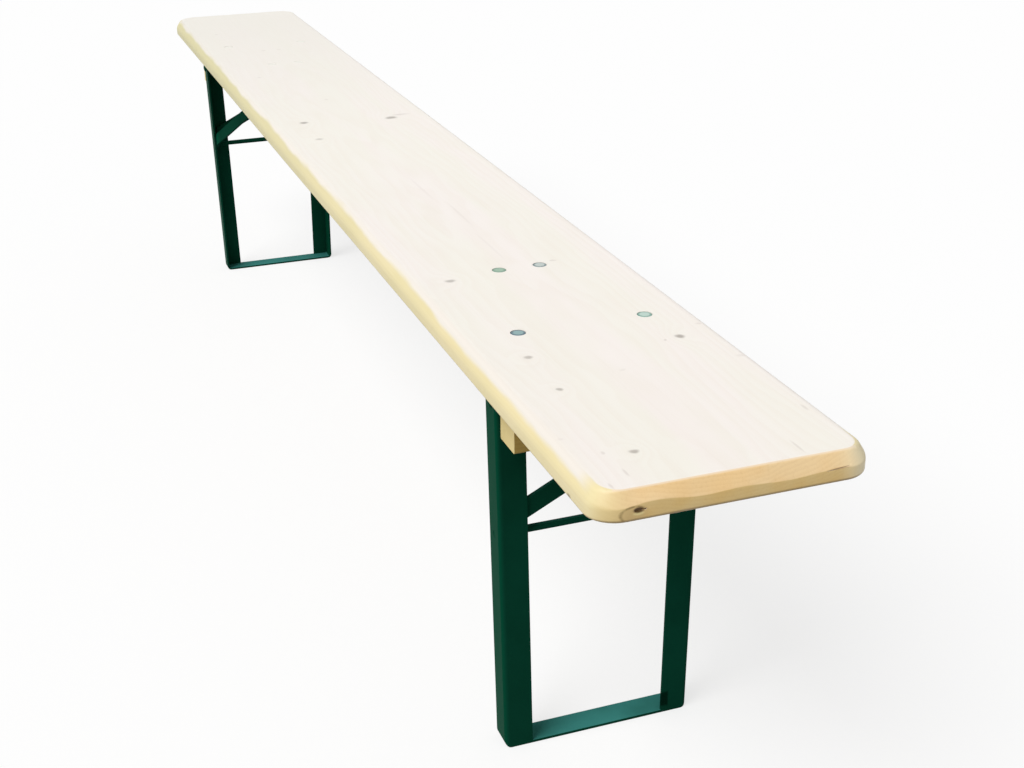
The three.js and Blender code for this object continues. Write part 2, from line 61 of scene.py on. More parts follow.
# Light: a level world and one wide soft sun, which together light a level face at 1
WHITE = (1.0, 1.0, 1.0)
WORLD_LIGHT = 0.42
WORLD_SEEN = 1.0
SUN_STRENGTH = 2.4
SUN_SPREAD = 40.0
SUN_FROM = (0.25, -0.6, 0.76)

# Floor: its grey for the light that it throws back, its grey as it is seen, and its glow as it is seen
FLOOR_BOUNCE = 0.45
FLOOR_SEEN = 0.30
FLOOR_GLOW = 0.69
FLOOR_ROUGHNESS = 0.9
FLOOR_HALF_SIZE = 40000
FLOOR_HEIGHT = -0.2
FLOOR_CORNERS = [(-1, -1), (1, -1), (1, 1), (-1, 1)]

# Seat plank's outline: the side of each corner in x and y, with its radius
PLANK_CORNERS = [((1, 1), 27), ((-1, 1), 34), ((-1, -1), 42), ((1, -1), 27)]
# Steps round each corner, and distances between points along the sides and the ends
CORNER_STEPS = 14
SIDE_STEP = 12
END_STEP = 3
# How far the front side moves out at the near end, and in at the far one
FRONT_SPLAY = {"near": 1.8, "far": 3.5}

# Seat plank's edge: rounded below, upright, then slanted up to the seat with a round at both its bends
SIDE_EDGE = {"drop": 12.5, "inset": 8.0, "bottom_round": 3.0, "low_round": 16.0, "high_round": 9.0}
END_EDGE = {"drop": 14.0, "inset": 7.0, "bottom_round": 4.5, "low_round": 3.0, "high_round": 3.5}
ARC_STEPS = 7
# Narrow strip round the seat and the underside that keeps their shading flat
FLAT_STRIP = 1.5
# The slanted face at the ends comes down less far at a swell, and goes up and down in waves
SWELL_HEIGHT = 3.2
SWELL_PLACE = -70.0
SWELL_WIDTH = 28.0
WAVE_HEIGHT = 1.0
WAVE_LENGTH = 84.0

# Knot and crack in the near end: middles and half sizes as (y, z), in the colour and as hollows
HOLE_MIDDLE = (-90.2, 423.8)
KNOT_BARK = {"middle": (-94.0, 420.6), "half_sizes": (12.8, 7.2)}
# The hole's dark colour is painted shade in its shallow hollow
KNOT_HOLE = {"middle": HOLE_MIDDLE, "half_sizes": (5.4, 2.9)}
# The lip is a painted highlight on the lower rim of the knot's hole
KNOT_LIP_HIGHLIGHT = {"middle": (-90.2, 420.8), "half_sizes": (6.0, 1.9)}
KNOT_HOLLOWS = [
    {"middle": HOLE_MIDDLE, "half_sizes": (4.1, 2.0), "depth": 2.6},
    {"middle": (-84.6, 424.0), "half_sizes": (1.6, 0.8), "depth": 2.4},
]
CRACK_FROM = (76.0, 426.3)
CRACK_TO = (101.0, 427.9)
CRACK_MIDDLE = tuple((a + b) / 2 for a, b in zip(CRACK_FROM, CRACK_TO))
# Half sizes of the painted shade along the crack, wider than its hollow
CRACK_SHADE = (13.5, 1.5)
CRACK_HALF_HEIGHT = 0.45
CRACK_DEPTH = 1.2
# Cutters for these hollows: steps from pole to pole, and round
HOLLOW_STEPS = 12
HOLLOW_ROUND_STEPS = 20

# Dark blemish low on the front side: middle and half sizes as (x, z)
SIDE_BLEMISH = {"middle": (1046.0, 415.0), "half_sizes": (5.0, 3.2)}

# Shares of a knot's size between which its colour fades out
SPOT_FADES = (0.3, 1.15)
# Knots of the seat: middle in x and y, half length, half width, and depth of colour
SEAT_KNOTS = [
    (-145, -70, 7.5, 7.5, 0.64),
    (-42, -71, 6.0, 7.0, 0.34),
    (-126, 59, 9.0, 11.0, 0.60),
    (592, -80, 5.6, 7.0, 0.50),
    (819, -76, 4.8, 5.4, 0.46),
    (897, -76, 3.8, 4.2, 0.50),
    (822, 78.5, 5.8, 5.8, 0.62),
    (1034, -65, 4.2, 5.4, 0.52),
]
# Faint spots and streaks of the seat, in the same terms
SEAT_STREAKS = [
    (-140, 78, 6.0, 16.0, 0.24),
    (826, 61, 2.4, 2.0, 0.30),
    (571, 46, 3.0, 5.0, 0.22),
    (799, 110, 3.0, 4.0, 0.14),
    (887, 111, 4.0, 6.0, 0.12),
    (877, -6, 3.0, 4.0, 0.10),
    (992, -113, 3.0, 4.0, 0.10),
    (1029, -90, 3.6, 2.2, 0.20),
    (1074, 63, 13.0, 1.6, 0.20),
    (1010, 107, 8.0, 2.0, 0.20),
    (1084, -107, 6.0, 1.6, 0.22),
    (1067, -87, 8.0, 1.6, 0.22),
    (245, -8, 60.0, 2.4, 0.08),
    (370, 4, 60.0, 2.4, 0.09),
    (500, -2, 60.0, 2.2, 0.07),
    (-700, -18, 6.0, 5.0, 0.14),
    (-699, 10, 6.0, 5.0, 0.12),
    (-478, -70, 6.0, 4.0, 0.14),
    (-887, -71, 6.0, 4.0, 0.12),
    (-279, -4, 6.0, 4.0, 0.12),
]

# Growth rings are cylinders about a pith over the seat as (y, z), and beside the cleats as (x, z)
SEAT_PITH = (-12, 690)
SEAT_RING = 3.4
CLEAT_PITH = (790, 300)
CLEAT_RING = 3.2
# Shares of a ring at which its late wood starts and is darkest
LATE_START = 0.15
LATE_PEAK = 0.9

# Noise in the wood and the finishes, in waves per metre along x, y and z
SEAT_NOISE = {
    "wobble": (2.2, 9.0, 9.0),
    "ripple": (14.0, 60.0, 60.0),
    "fibre": (9.0, 420.0, 420.0),
    "band": (2.4, 20.0, 6.0),
    "cloud": (9.0, 30.0, 30.0),
    "patch": (0.0, 21.0, 26.0),
    "crumble": (0.0, 190.0, 190.0),
}
CLEAT_NOISE = {
    "wobble": (30.0, 5.0, 30.0),
    "fibre": (400.0, 12.0, 400.0),
    "cloud": (40.0, 20.0, 40.0),
}
PAINT_NOISE = {"peel": (900.0, 900.0, 900.0), "cloud": (14.0, 14.0, 14.0)}
METAL_NOISE = (260.0, 260.0, 260.0)

# Range over which that noise moves the growth rings, the knots and spots, and the sanded edge
RING_WOBBLE = 26
RING_RIPPLE = 0.9
CLEAT_RING_WOBBLE = 12
SPOT_RIPPLE = 7
SPOT_WOBBLE = 4
EDGE_RIPPLE = 8
# How far a knot pushes the growth rings up, and the reach of that in half lengths and half widths of it
KNOT_BEND = 6
BEND_LENGTH_SHARE = 6.6
BEND_WIDTH_SHARE = 4.4

# Stretches along the bench over which its looks change towards the far end
SEAT_DULLS = (-1100, 100)
SIDE_DULLS = (-900, 1100)
SHADE_DARKENS = (-600, 800)
EDGE_CLIMBS = (200, 1000)
# How much higher the sanded edge starts there
EDGE_CLIMB = 2.6

# Heights on the plank between which one look gives way to another
UNDERSIDE_TOP = (413.1, 414.0)
SANDED_FROM = (431.5, 436.5)
SEAT_FROM = (437.5, 439.5)
RECESS_FROM = (430.0, 432.0)
# The same as distances from the plank's middle, along it or across it
SANDED_LENGTH = (1045, 1082)
RECESS_LENGTH = (1080, 1081)
RECESS_WIDTH = (105, 106)
HOLLOW_FROM = (1088, 1090)
HOLLOW_WIDTH = (108, 110)
# The same in x for the near end, and in y for the two corners of the ends
NEAR_END = (1070, 1085)
BRIGHT_CORNER = (85, 116)
DULL_CORNER = (-120, -90)
# The bark ring of the end's knot fades down a slanted line, between these distances from its middle
BARK_FADES = (-4, 5)
BARK_SLANT = 0.7

# Parts of the plank's normal between which one look gives way to another: along z, along y, along x
FACES_DOWN = (-0.5, -0.02)
SLANTED_END = (0.12, 0.42)
END_TOP = (0.6, 0.95)
LEVEL = (0.95, 0.999)
FACES_FRONT = (-0.4, -0.2)
FACES_SUN = (-0.40, 0.02)
FACES_ENDWAYS = (0.25, 0.85)

# Heights between which the green paint darkens, a painted shade under the seat, and the painted sheen on
# level faces thins out, as the seat shades them
PAINT_SHADE_HEIGHTS = (160, 400)
SHEEN_THINS = (50, 200)
# The outer faces of the legs lie beyond these places in y
OUTER_FACE = (98, 103)
# Painted shadow low on the near leg's end flange, a dark patch where a notch would show shade: middle and
# half sizes as (y, z), and how far out in x
FOOT_NOTCH_SHADOW = {"middle": (77.6, 16.6), "half_sizes": (4.6, 9.2)}
NOTCH_SHADOW_FROM = (812, 816)

# Round pieces, and the recesses round the bolts' heads
ROUND_STEPS = 48
BOLT_RECESS = {"diameter": 15.8, "depth": 4.5}
BOLT_DIAMETER = 8.0
BOLT_HEAD_HEIGHT = 4.3
# Bolt head from its lower rim towards its middle: distance in from the rim, height over the head's top
BOLT_HEAD = [(0.1, -0.8), (0.0, -0.6), (0.15, -0.35), (0.7, -0.05), (1.6, 0.06), (4.5, 0.16)]
BOLT_DOME = 0.2
BOLT_TIP = 1.0
THREAD_START = 0.8
THREAD_PITCH = 1.25
THREAD_DEPTH = 0.5
THREAD_TURNS = 9
RIVET_HEAD_HEIGHT = 3.0
RIVET_DIAMETER = 8.0
RIVET_STEPS = 8
# Ends of pins and rods: radius added, distance from the end
PIN_END = [(-0.6, 0.0), (0.0, 0.6)]
ROD_END = [(0.25, 0.0), (0.25, 3.2), (0.0, 3.3)]

# Angles in degrees over which an edge is sharp
SHARP_ANGLE = 35
BOLT_SHARP_ANGLE = 40
RIVET_SHARP_ANGLE = 50
# Edges of the CAD pieces
BEVEL_WIDTH = 0.5
BEVEL_ANGLE = 32
BEVEL_SEGMENTS = 2

# Finish of each CAD piece that is shown
NODE_FINISHES = {
    "leg_frame": "paint",
    "leg_brace": "paint",
    "strut_arm": "paint",
    "catch_plate": "paint",
    "catch_spring": "spring",
    "hinge_bracket": "paint",
    "hinge_nut": "zinc",
    "catch_nut": "zinc",
    "cleat_screw": "zinc",
    "cleat": "cleat",
}


def linear(red, green, blue):
    """An 8-bit screen colour as the linear colour that renders as it."""
    shares = [channel / 255 for channel in (red, green, blue)]
    return tuple(s / 12.92 if s <= 0.04045 else ((s + 0.055) / 1.055) ** 2.4 for s in shares)


SEAT_COLOURS = {
    "cream": linear(245, 241, 231),
    "rose": linear(247, 240, 234),
    "cloud": linear(242, 236, 224),
    "late": linear(222, 200, 176),
    "fibre": linear(214, 200, 184),
    "far": linear(234, 230, 221),
    "streak": linear(150, 130, 122),
    "knot": linear(104, 88, 76),
}
SIDE_COLOURS = {
    "wood": linear(236, 221, 173),
    "late": linear(218, 190, 128),
    "cloud": linear(227, 213, 160),
    "fibre": linear(206, 176, 118),
    "far": linear(204, 197, 148),
    "blemish": linear(104, 84, 58),
    "shade": linear(190, 164, 118),
    "far_shade": linear(122, 112, 74),
}
END_COLOURS = {
    "low": linear(232, 196, 124),
    "low_patch": linear(232, 203, 140),
    "high": linear(244, 207, 149),
    "high_patch": linear(245, 214, 163),
    "late": linear(206, 160, 100),
    "fibre": linear(192, 148, 92),
    "bright_corner": linear(254, 242, 204),
    "dull_corner": linear(222, 200, 144),
    "top": linear(238, 220, 196),
    "bark": linear(122, 96, 44),
    "knot": linear(208, 178, 122),
    "lip": linear(250, 236, 168),
    "hole": linear(92, 62, 14),
    "crack": linear(174, 130, 68),
    "shade": linear(148, 120, 70),
}
UNDER_COLOURS = {
    "wood": linear(236, 220, 182),
    "late": linear(210, 178, 126),
    "fibre": linear(200, 172, 126),
}
SEAT_ROUGHNESS = (0.46, 0.6)
SEAT_BUMP = {"strength": 0.3, "distance": 0.1}
SEAT_COAT = 0.12
SEAT_COAT_ROUGHNESS = 0.35
# Where the plank's edge faces the sun it has to be darker, to render as the seat does
SUNNY_EDGE = linear(234, 227, 217)
FAR_SUNNY_EDGE = linear(218, 213, 203)

# The batten's long faces are darker than its ends: partly their own long grain, partly painted shade from
# the plank above
CLEAT_COLOURS = {
    "face": linear(162, 136, 68),
    "face_cloud": linear(152, 126, 62),
    "face_late": linear(140, 110, 52),
    "face_fibre": linear(132, 104, 52),
    "end": linear(231, 212, 151),
    "end_cloud": linear(222, 202, 141),
    "end_late": linear(204, 172, 110),
}
CLEAT_ROUGHNESS = (0.6, 0.72)
CLEAT_BUMP = {"strength": 0.35, "distance": 0.12}
CLEAT_GLOSS = 0.3

# Linear colours, as the paint is darker than 8-bit values can tell apart
PAINT_COLOURS = {
    "dark": (0.0028, 0.043, 0.024),
    "light": (0.0036, 0.052, 0.030),
    # painted shade high up on the legs, under the seat
    "painted_shade_under_seat": (0.0012, 0.012, 0.0055),
    # painted light on the legs' outer side faces
    "lit_outer_face": (0.002, 0.058, 0.030),
    # painted sheen of the sky on level faces
    "painted_sheen": (0.044, 0.225, 0.205),
    # painted shadow of a notch at the foot of the near leg
    "notch_shadow": (0.0006, 0.005, 0.0025),
}
PAINT_ROUGHNESS = (0.34, 0.42)
PAINT_BUMP = {"strength": 0.12, "distance": 0.05}
PAINT_GLOSS = 0.004
PAINT_GLOSS_TINT = (0.1, 0.9, 0.8)

METALLIC = 0.9
METAL_BUMP = {"strength": 0.15, "distance": 0.06}
# How much rougher than elsewhere a metal is in spots
SPOT_ROUGHNESS = 0.14
# Metals in two colours, with their roughness
ZINC = (linear(168, 178, 178), linear(140, 152, 152), 0.35)
SPRING_STEEL = (linear(92, 98, 102), linear(74, 78, 82), 0.3)
# The bolts at the far end are pale. The four heads that show have their own colours for middle and rim
FAR_BOLT = (linear(238, 236, 228), linear(232, 230, 222), 0.4)
BOLT_ROUGHNESS = 0.38
BOLT_COLOURS = {
    "right_catch_bolt_front": (linear(160, 188, 168), linear(134, 164, 146)),
    "right_catch_bolt_back": (linear(194, 203, 199), linear(134, 150, 150)),
    "right_hinge_bolt_front": (linear(146, 176, 176), linear(102, 124, 134)),
    "right_hinge_bolt_back": (linear(190, 212, 202), linear(134, 170, 158)),
}


def metres(*lengths):
    return tuple(length * MM for length in lengths)


class Shader:
    """A node material under construction. Inputs are numbers, colours or sockets of other nodes."""

    # Where a mix node has its factor and its two colours, and its mixed colour
    MIX_INPUTS = (0, 6, 7)
    MIX_OUTPUT = 2

    def __init__(self, name):
        self.material = bpy.data.materials.new(name)
        self.material.use_nodes = True
        self.tree = self.material.node_tree
        self.surface = self.tree.nodes["Principled BSDF"]

    def link(self, socket, value):
        if isinstance(value, bpy.types.NodeSocket):
            self.tree.links.new(value, socket)
        elif socket.type == "RGBA":
            socket.default_value = (*value, 1.0)
        else:
            socket.default_value = value

    def fill(self, sockets, operands):
        for socket, operand in zip(sockets, operands):
            self.link(socket, operand)

    def set(self, node, **inputs):
        for name, value in inputs.items():
            self.link(node.inputs[name.replace("_", " ")], value)
        return node

    def node(self, kind, **inputs):
        return self.set(self.tree.nodes.new(kind), **inputs)

    def value(self, operation, *operands):
        node = self.tree.nodes.new("ShaderNodeMath")
        node.operation = operation
        self.fill(node.inputs, operands)
        return node.outputs[0]

    def product(self, first, *others):
        for other in others:
            first = self.value("MULTIPLY", first, other)
        return first

    def magnitude(self, value):
        return self.value("ABSOLUTE", value)

    def vector(self, operation, *operands):
        node = self.tree.nodes.new("ShaderNodeVectorMath")
        node.operation = operation
        self.fill(node.inputs, operands)
        return node.outputs["Value" if operation == "LENGTH" else "Vector"]

    def coordinates(self, output="Object"):
        return self.node("ShaderNodeTexCoord").outputs[output]

    def split(self, vector):
        return self.node("ShaderNodeSeparateXYZ", Vector=vector).outputs

    def join(self, x, y, z):
        return self.node("ShaderNodeCombineXYZ", X=x, Y=y, Z=z).outputs[0]

    def mix(self, factor, first, second):
        node = self.tree.nodes.new("ShaderNodeMix")
        node.data_type = "RGBA"
        self.fill([node.inputs[index] for index in self.MIX_INPUTS], (factor, first, second))
        return node.outputs[self.MIX_OUTPUT]

    def layers(self, colour, *coats):
        """A colour with coats over it: each a mask, a colour and its greatest share, unless that is 1."""
        for mask, coat, *share in coats:
            colour = self.mix(self.product(mask, *share), colour, coat)
        return colour

    def noise(self, place, waves, detail=2.0, roughness=0.5):
        """Noise from 0 to 1 over a place, with its waves per metre along each axis."""
        stretched = self.vector("MULTIPLY", place, waves)
        return self.node(
            "ShaderNodeTexNoise", Vector=stretched, Scale=1.0, Detail=detail, Roughness=roughness
        ).outputs["Fac"]

    def sway(self, place, waves, detail=2.0):
        """The same noise about 0."""
        return self.value("SUBTRACT", self.noise(place, waves, detail), 0.5)

    def smooth(self, value, low, high, at_low, at_high):
        node = self.tree.nodes.new("ShaderNodeMapRange")
        node.interpolation_type = "SMOOTHSTEP"
        self.fill(node.inputs, (value, low, high, at_low, at_high))
        return node.outputs[0]

    def rise(self, value, low, high):
        """0 below the low value, 1 above the high one."""
        return self.smooth(value, low, high, 0.0, 1.0)

    def fall(self, value, low, high):
        """1 below the low value, 0 above the high one."""
        return self.smooth(value, low, high, 1.0, 0.0)

    def bump(self, height, strength, distance):
        """A normal over small heights, with the distance that they stand for in millimetres."""
        bump = self.node("ShaderNodeBump", Height=height, Strength=strength, Distance=distance * MM)
        return bump.outputs[0]

    def finish(self, **fixed):
        """Sets inputs that are the same all over, and returns the material."""
        self.set(self.surface, **fixed)
        return self.material


def spot(shader, place, middle, half_sizes):
    """Distance from the middle of an oval spot, 1 at its rim. A half size of 0 leaves that axis out."""
    scale = [1 / (size * MM) if size else 0.0 for size in half_sizes]
    offset = [-m * MM * s for m, s in zip(middle, scale)]
    return shader.vector("LENGTH", shader.vector("MULTIPLY_ADD", place, scale, offset))


def end_spot(shader, place, oval):
    """The same for an oval in the board's end."""
    return spot(shader, place, (0, *oval["middle"]), (0, *oval["half_sizes"]))


def deepest(shader, place, spots):
    """The strongest depth of colour that any of some spots on the seat has at a place."""
    strongest = 0.0
    for x, y, half_length, half_width, depth in spots:
        distance = spot(shader, place, (x, y, 0), (half_length, half_width, 0))
        share = shader.smooth(distance, *SPOT_FADES, depth, 0.0)
        strongest = shader.value("MAXIMUM", strongest, share)
    return strongest


def knot_bend(shader, place):
    """How far the growth rings are pushed up by the nearest knot of the seat."""
    nearest = 1.0
    for x, y, half_length, half_width, _ in SEAT_KNOTS:
        reach = (BEND_LENGTH_SHARE * half_length, BEND_WIDTH_SHARE * half_width, 0)
        nearest = shader.value("MINIMUM", nearest, spot(shader, place, (x, y, 0), reach))
    return shader.smooth(nearest, 0.0, 1.0, KNOT_BEND * MM, 0.0)


def pith_distance(shader, across, up, pith):
    """Distance from a pith that runs along the board or the batten."""
    pith_across, pith_up = metres(*pith)
    offset = shader.join(
        shader.value("SUBTRACT", across, pith_across), shader.value("SUBTRACT", up, pith_up), 0.0
    )
    return shader.vector("LENGTH", offset)


def late_wood(shader, radius, ring):
    """Share of dark late wood at a radius: it rises slowly over a ring and ends sharply."""
    share = shader.value("FRACT", shader.value("DIVIDE", radius, ring * MM))
    return shader.product(
        shader.rise(share, LATE_START, LATE_PEAK), shader.fall(share, LATE_PEAK, 1.0)
    )


def seat_wood(shader):
    """What the plank's looks follow: the place, the same place shaken by noise, the facing, the grain."""
    place = shader.coordinates()
    x, y, z = shader.split(place)
    facing_x, facing_y, facing_z = shader.split(shader.coordinates("Normal"))
    wobble = shader.sway(place, SEAT_NOISE["wobble"], 3.0)
    ripple = shader.sway(place, SEAT_NOISE["ripple"])
    shift = shader.join(
        shader.product(ripple, SPOT_RIPPLE * MM), shader.product(wobble, SPOT_WOBBLE * MM), 0.0
    )
    radius = pith_distance(shader, y, z, SEAT_PITH)
    radius = shader.value("MULTIPLY_ADD", wobble, RING_WOBBLE * MM, radius)
    radius = shader.value("MULTIPLY_ADD", ripple, RING_RIPPLE * MM, radius)
    radius = shader.value("ADD", radius, knot_bend(shader, place))
    return SimpleNamespace(
        place=place,
        shaken=shader.vector("ADD", place, shift),
        x=x,
        y=y,
        z=z,
        facing_x=facing_x,
        facing_y=facing_y,
        facing_z=facing_z,
        ripple=ripple,
        late=late_wood(shader, radius, SEAT_RING),
        fibre=shader.noise(place, SEAT_NOISE["fibre"], 3.0, 0.65),
        cloud=shader.noise(place, SEAT_NOISE["cloud"], 3.0),
        below=shader.fall(facing_z, *FACES_DOWN),
    )


def seat_colour(shader, at):
    band = shader.noise(at.place, SEAT_NOISE["band"])
    return shader.layers(
        shader.mix(shader.rise(band, 0.35, 0.65), SEAT_COLOURS["cream"], SEAT_COLOURS["rose"]),
        (shader.rise(at.cloud, 0.4, 0.75), SEAT_COLOURS["cloud"], 0.35),
        (at.late, SEAT_COLOURS["late"], 0.06),
        (shader.rise(at.fibre, 0.5, 0.8), SEAT_COLOURS["fibre"], 0.08),
        (shader.fall(at.x, *metres(*SEAT_DULLS)), SEAT_COLOURS["far"], 0.8),
        (deepest(shader, at.shaken, SEAT_STREAKS), SEAT_COLOURS["streak"]),
        (deepest(shader, at.shaken, SEAT_KNOTS), SEAT_COLOURS["knot"]),
    )


def side_colour(shader, at):
    x, z = SIDE_BLEMISH["middle"]
    half_length, half_height = SIDE_BLEMISH["half_sizes"]
    blemish = spot(shader, at.shaken, (x, 0, z), (half_length, 0, half_height))
    on_front = shader.fall(at.facing_y, *FACES_FRONT)
    far = shader.fall(at.x, *metres(*SHADE_DARKENS))
    return shader.layers(
        SIDE_COLOURS["wood"],
        (at.late, SIDE_COLOURS["late"], 0.08),
        (shader.rise(at.cloud, 0.35, 0.7), SIDE_COLOURS["cloud"], 0.6),
        (shader.rise(at.fibre, 0.5, 0.8), SIDE_COLOURS["fibre"], 0.12),
        (shader.fall(at.x, *metres(*SIDE_DULLS)), SIDE_COLOURS["far"], 0.9),
        (shader.product(shader.fall(blemish, 0.3, 1.2), on_front), SIDE_COLOURS["blemish"], 0.85),
        (at.below, shader.mix(far, SIDE_COLOURS["shade"], SIDE_COLOURS["far_shade"]), 0.8),
    )


def end_colour(shader, at):
    patch = shader.rise(shader.noise(at.place, SEAT_NOISE["patch"]), 0.35, 0.65)
    low = shader.mix(patch, END_COLOURS["low"], END_COLOURS["low_patch"])
    high = shader.mix(patch, END_COLOURS["high"], END_COLOURS["high_patch"])
    plain = shader.layers(
        low,
        # The end's upright band is darker than its slanted face above: partly sawn wood against sanded,
        # partly painted shade
        (shader.rise(at.facing_z, *SLANTED_END), high),
        (at.late, END_COLOURS["late"], 0.10),
        (shader.rise(at.fibre, 0.45, 0.8), END_COLOURS["fibre"], 0.14),
        (shader.rise(at.y, *metres(*BRIGHT_CORNER)), END_COLOURS["bright_corner"], 0.85),
        (shader.fall(at.y, *metres(*DULL_CORNER)), END_COLOURS["dull_corner"], 0.85),
        (shader.rise(at.facing_z, *END_TOP), END_COLOURS["top"], 0.8),
    )
    return shader.layers(knotty(shader, at, plain), (at.below, END_COLOURS["shade"], 0.9))


def knotty(shader, at, plain):
    """The end's colour with the knot and the crack of the near end."""
    near = shader.rise(at.x, *metres(*NEAR_END))
    bark = end_spot(shader, at.shaken, KNOT_BARK)
    line = shader.product(shader.rise(bark, 0.70, 0.93), shader.fall(bark, 0.93, 1.10))
    crumble = shader.smooth(shader.noise(at.place, SEAT_NOISE["crumble"]), 0.3, 0.6, 0.45, 1.0)
    bark_y, bark_z = metres(*KNOT_BARK["middle"])
    upward = shader.value("SUBTRACT", at.z, bark_z)
    outward = shader.value("SUBTRACT", bark_y, at.y)
    aslant = shader.value("MULTIPLY_ADD", outward, BARK_SLANT, upward)
    upper = shader.smooth(aslant, *metres(*BARK_FADES), 0.06, 0.8)
    lip = end_spot(shader, at.shaken, KNOT_LIP_HIGHLIGHT)
    hole = end_spot(shader, at.shaken, KNOT_HOLE)
    crack = end_spot(shader, at.shaken, {"middle": CRACK_MIDDLE, "half_sizes": CRACK_SHADE})
    return shader.layers(
        plain,
        (shader.product(line, crumble, upper, near), END_COLOURS["bark"]),
        (shader.product(shader.fall(bark, 0.6, 1.0), near), END_COLOURS["knot"], 0.5),
        # painted highlight under the knot's hole
        (shader.product(shader.fall(lip, 0.4, 1.1), near), END_COLOURS["lip"], 0.6),
        # painted shade in the knot's hole
        (shader.product(shader.fall(hole, 0.6, 1.15), near), END_COLOURS["hole"], 0.95),
        # painted shade along the crack
        (shader.product(shader.fall(crack, 0.2, 1.0), near), END_COLOURS["crack"], 0.5),
    )


def under_colour(shader, at):
    return shader.layers(
        UNDER_COLOURS["wood"],
        (at.late, UNDER_COLOURS["late"], 0.35),
        (shader.rise(at.fibre, 0.45, 0.8), UNDER_COLOURS["fibre"], 0.2),
    )


def sanded_colour(shader, at):
    """The seat's colour, and a darker one where the plank's edge faces the sun."""
    far = shader.product(shader.fall(at.x, *metres(*SEAT_DULLS)), 0.7)
    sunny = shader.mix(far, SUNNY_EDGE, FAR_SUNNY_EDGE)
    return shader.mix(shader.fall(at.facing_y, *FACES_SUN), seat_colour(shader, at), sunny)


def end_mask(shader, at):
    """The ends' faces, and the walls of the hollows in them."""
    hollow = shader.product(
        shader.rise(shader.magnitude(at.x), *metres(*HOLLOW_FROM)),
        shader.fall(shader.magnitude(at.y), *metres(*HOLLOW_WIDTH)),
    )
    endways = shader.rise(shader.magnitude(at.facing_x), *FACES_ENDWAYS)
    return shader.value("MAXIMUM", endways, hollow)


def sanded_mask(shader, at, on_end):
    """The slanted face along the sides, from a ragged line upwards."""
    ragged = shader.value("MULTIPLY_ADD", at.ripple, EDGE_RIPPLE * MM, at.z)
    climb = shader.product(shader.fall(at.x, *metres(*EDGE_CLIMBS)), EDGE_CLIMB * MM)
    ragged = shader.value("SUBTRACT", ragged, climb)
    return shader.product(
        shader.rise(ragged, *metres(*SANDED_FROM)),
        shader.value("SUBTRACT", 1.0, on_end),
        shader.fall(shader.magnitude(at.x), *metres(*SANDED_LENGTH)),
    )


def seat_mask(shader, at):
    """The level seat, and the recesses in it."""
    level = shader.product(
        shader.rise(at.facing_z, *LEVEL), shader.rise(at.z, *metres(*SEAT_FROM))
    )
    recess = shader.product(
        shader.rise(at.z, *metres(*RECESS_FROM)),
        shader.fall(shader.magnitude(at.y), *metres(*RECESS_WIDTH)),
        shader.fall(shader.magnitude(at.x), *metres(*RECESS_LENGTH)),
    )
    return shader.value("MAXIMUM", level, recess)


def plank_material():
    shader = Shader("seat_spruce")
    at = seat_wood(shader)
    on_end = end_mask(shader, at)
    sanded = sanded_colour(shader, at)
    colour = shader.layers(
        side_colour(shader, at),
        (on_end, end_colour(shader, at)),
        (shader.fall(at.z, *metres(*UNDERSIDE_TOP)), under_colour(shader, at)),
        (sanded_mask(shader, at, on_end), sanded),
        (seat_mask(shader, at), sanded),
    )
    height = shader.value("MULTIPLY_ADD", at.late, 0.6, shader.product(at.fibre, 0.5))
    shader.set(
        shader.surface,
        Base_Color=colour,
        Roughness=shader.smooth(at.fibre, 0.3, 0.8, *SEAT_ROUGHNESS),
        Normal=shader.bump(height, **SEAT_BUMP),
    )
    return shader.finish(Coat_Weight=SEAT_COAT, Coat_Roughness=SEAT_COAT_ROUGHNESS)


def cleat_material():
    shader = Shader("cleat_spruce")
    place = shader.coordinates()
    x, _, z = shader.split(place)
    _, facing_y, facing_z = shader.split(shader.coordinates("Normal"))
    wobble = shader.noise(place, CLEAT_NOISE["wobble"], 3.0)
    radius = pith_distance(shader, shader.magnitude(x), z, CLEAT_PITH)
    radius = shader.value("MULTIPLY_ADD", wobble, CLEAT_RING_WOBBLE * MM, radius)
    late = late_wood(shader, radius, CLEAT_RING)
    fibre = shader.noise(place, CLEAT_NOISE["fibre"], 3.0, 0.6)
    cloud = shader.rise(shader.noise(place, CLEAT_NOISE["cloud"], 3.0), 0.35, 0.7)
    face = shader.layers(
        CLEAT_COLOURS["face"],
        (cloud, CLEAT_COLOURS["face_cloud"]),
        (late, CLEAT_COLOURS["face_late"], 0.25),
        (shader.rise(fibre, 0.45, 0.8), CLEAT_COLOURS["face_fibre"], 0.25),
    )
    end = shader.layers(
        CLEAT_COLOURS["end"],
        (cloud, CLEAT_COLOURS["end_cloud"]),
        (late, CLEAT_COLOURS["end_late"], 0.16),
    )
    # painted shade: long faces get the darker colour, ends and most of the underside the lighter one
    on_end = shader.rise(shader.magnitude(facing_y), 0.6, 0.9)
    on_end = shader.value("MAXIMUM", on_end, shader.smooth(facing_z, -0.9, -0.5, 0.7, 0.0))
    shader.set(
        shader.surface,
        Base_Color=shader.mix(on_end, face, end),
        Roughness=shader.smooth(fibre, 0.3, 0.8, *CLEAT_ROUGHNESS),
        Normal=shader.bump(fibre, **CLEAT_BUMP),
    )
    return shader.finish(Specular_IOR_Level=CLEAT_GLOSS)


def notch_shadow_mask(shader, x, y, z):
    """The painted shadow with straight sides on the near leg."""
    middle_y, middle_z = metres(*FOOT_NOTCH_SHADOW["middle"])
    half_width, half_height = metres(*FOOT_NOTCH_SHADOW["half_sizes"])
    across = shader.magnitude(shader.value("SUBTRACT", y, middle_y))
    upward = shader.magnitude(shader.value("SUBTRACT", z, middle_z))
    distance = shader.value(
        "MAXIMUM",
        shader.value("DIVIDE", across, half_width),
        shader.value("DIVIDE", upward, half_height),
    )
    return shader.product(
        shader.fall(distance, 0.7, 1.2), shader.rise(x, *metres(*NOTCH_SHADOW_FROM))
    )


